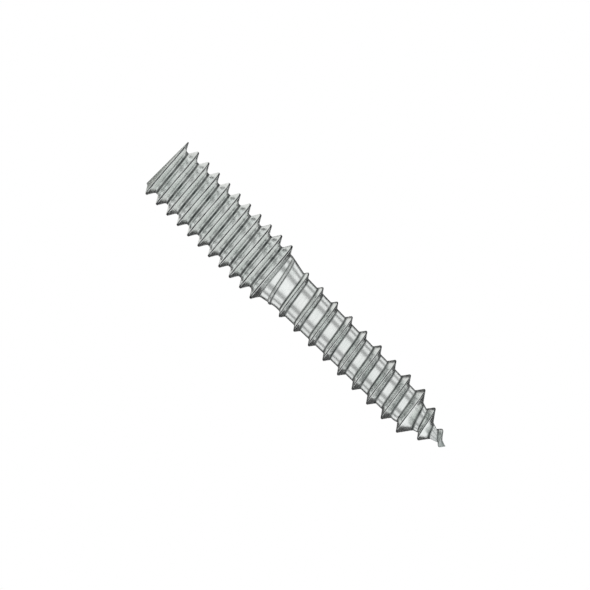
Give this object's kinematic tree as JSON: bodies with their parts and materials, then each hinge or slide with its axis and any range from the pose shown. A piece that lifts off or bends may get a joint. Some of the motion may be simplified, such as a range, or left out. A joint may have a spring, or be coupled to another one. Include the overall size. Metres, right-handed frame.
{
  "type": "hanger bolt",
  "caption": "Headless steel stud with a machine thread on its flat end, a tapered neck and a wood-screw thread with a gimlet point, for joining wood to threaded fittings.",
  "frame": {"origin": "centre of the flat end of the machine thread", "axes": "+Z along the bolt's axis, from the flat end to the point; a crest of the machine thread meets the flat end on the -X side"},
  "size_m": [0.0048, 0.0048, 0.0286],
  "materials": {
    "zinc_plated_steel": "bright zinc plate on rolled steel"
  },
  "bodies": {
    "root": {"hanger_bolt": "zinc_plated_steel"}
  },
  "joints": []
}
